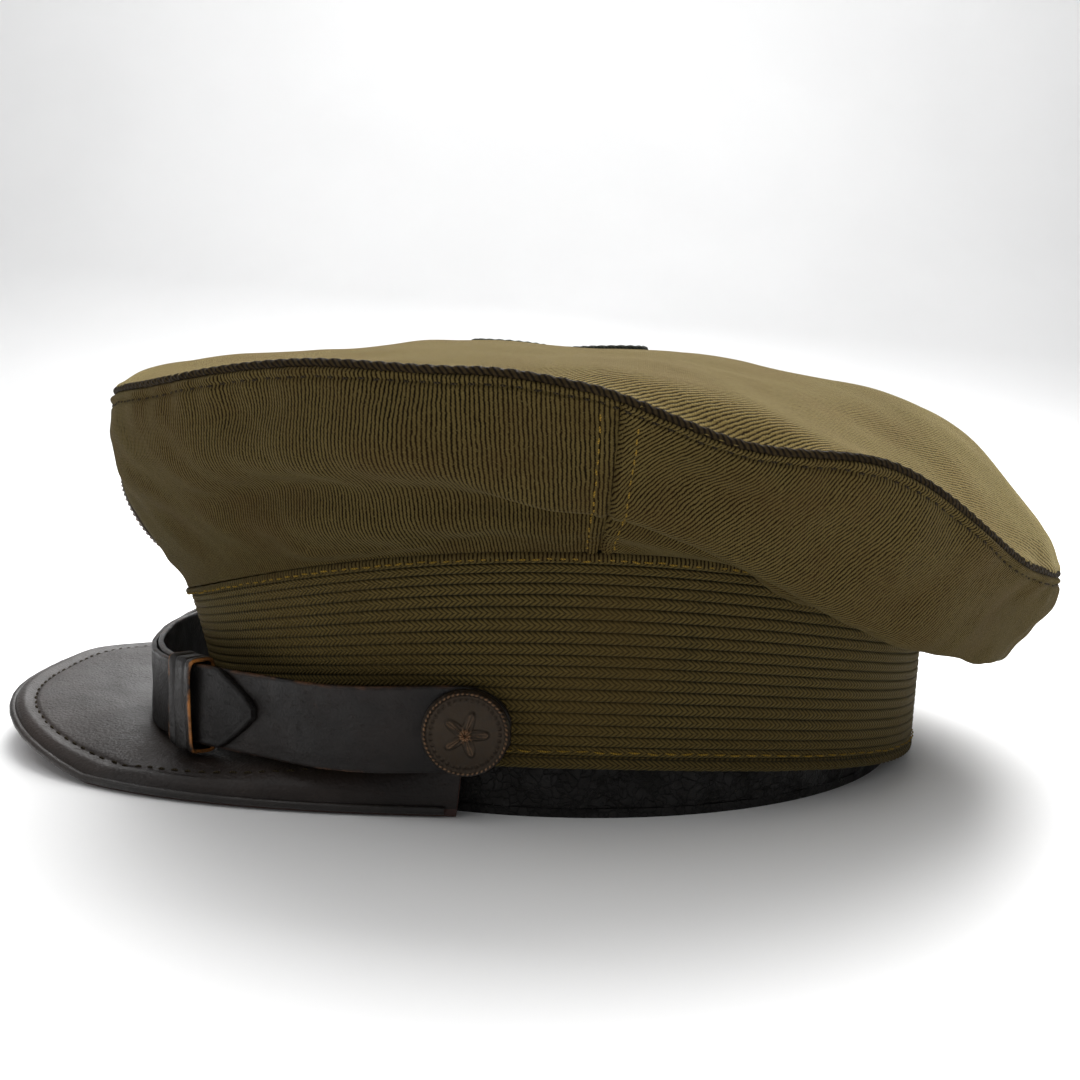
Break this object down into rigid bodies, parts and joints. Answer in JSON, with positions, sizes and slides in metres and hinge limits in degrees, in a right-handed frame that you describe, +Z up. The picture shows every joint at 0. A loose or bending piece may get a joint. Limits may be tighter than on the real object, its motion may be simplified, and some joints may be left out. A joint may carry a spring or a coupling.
{
  "type": "military peaked cap",
  "caption": "Peaked service cap with a soft round cloth crown, ribbed braid band, stiff leather visor, leather chin strap on shank buttons and a plain front badge.",
  "frame": {"origin": "middle of the cap's bounding box, on the table it stands on", "axes": "+Z up, the visor points along -Y, the wearer's left is +X"},
  "size_m": [0.2376, 0.2858, 0.1085],
  "materials": {
    "wool": "ribbed wool cloth, matte",
    "braid": "ribbed mohair braid, matte",
    "lining": "satin lining",
    "stiffener": "pressed fibre board and buckram",
    "trim_cord": "dark woven cord",
    "dark_leather": "polished and worn",
    "visor_leather": "semi-gloss, scratched",
    "visor_lining": "smooth, dark red-brown",
    "sweat_leather": "cracked and peeling",
    "bronze": "dark bronze with worn coppery edges",
    "wire": "spring wire"
  },
  "bodies": {
    "cap": {"crown_top": "wool", "crown_panel_front_left": "wool", "crown_panel_front_right": "wool", "crown_panel_rear_left": "wool", "crown_panel_rear_right": "wool", "crown_seam_welt": "wool", "crown_lining": "lining", "crown_grommet": "wire", "crown_cord_trim": "trim_cord", "front_stay": "stiffener", "band_top_edge": "wool", "band_braid": "braid", "band_stiffener": "stiffener", "hem_binding": "braid", "sweatband": "sweat_leather", "sweatband_reed": "sweat_leather", "visor_top": "visor_leather", "visor_core": "stiffener", "visor_underside": "visor_lining", "visor_edge_welt": "visor_leather", "front_badge": "bronze", "badge_nut": "bronze"},
    "chin_strap": {"strap_left": "dark_leather", "strap_right": "dark_leather"},
    "left_keeper": {"left_keeper": "dark_leather"},
    "right_keeper": {"right_keeper": "dark_leather"},
    "left_button": {"left_button": "bronze", "left_button_ring": "wire"},
    "right_button": {"right_button": "bronze", "right_button_ring": "wire"}
  },
  "joints": [
    {"name": "strap_lift", "type": "hinge", "parent": "cap", "child": "chin_strap", "pos_m": [0, -0.01321, 0.0215], "axis": [-1, 0, 0], "range_deg": [0, 5]},
    {"name": "left_keeper_slide", "type": "slide", "parent": "chin_strap", "child": "left_keeper", "axis": [0.6771, 0.7349, 0.0386], "range_m": [-0.003, 0.003]},
    {"name": "right_keeper_slide", "type": "slide", "parent": "chin_strap", "child": "right_keeper", "axis": [-0.6771, 0.7349, 0.0386], "range_m": [-0.003, 0.003]},
    {"name": "left_button_turn", "type": "hinge", "parent": "cap", "child": "left_button", "pos_m": [0.085, -0.01321, 0.0215], "axis": [1, 0, 0], "continuous": true},
    {"name": "right_button_turn", "type": "hinge", "parent": "cap", "child": "right_button", "pos_m": [-0.085, -0.01321, 0.0215], "axis": [1, 0, 0], "continuous": true}
  ]
}
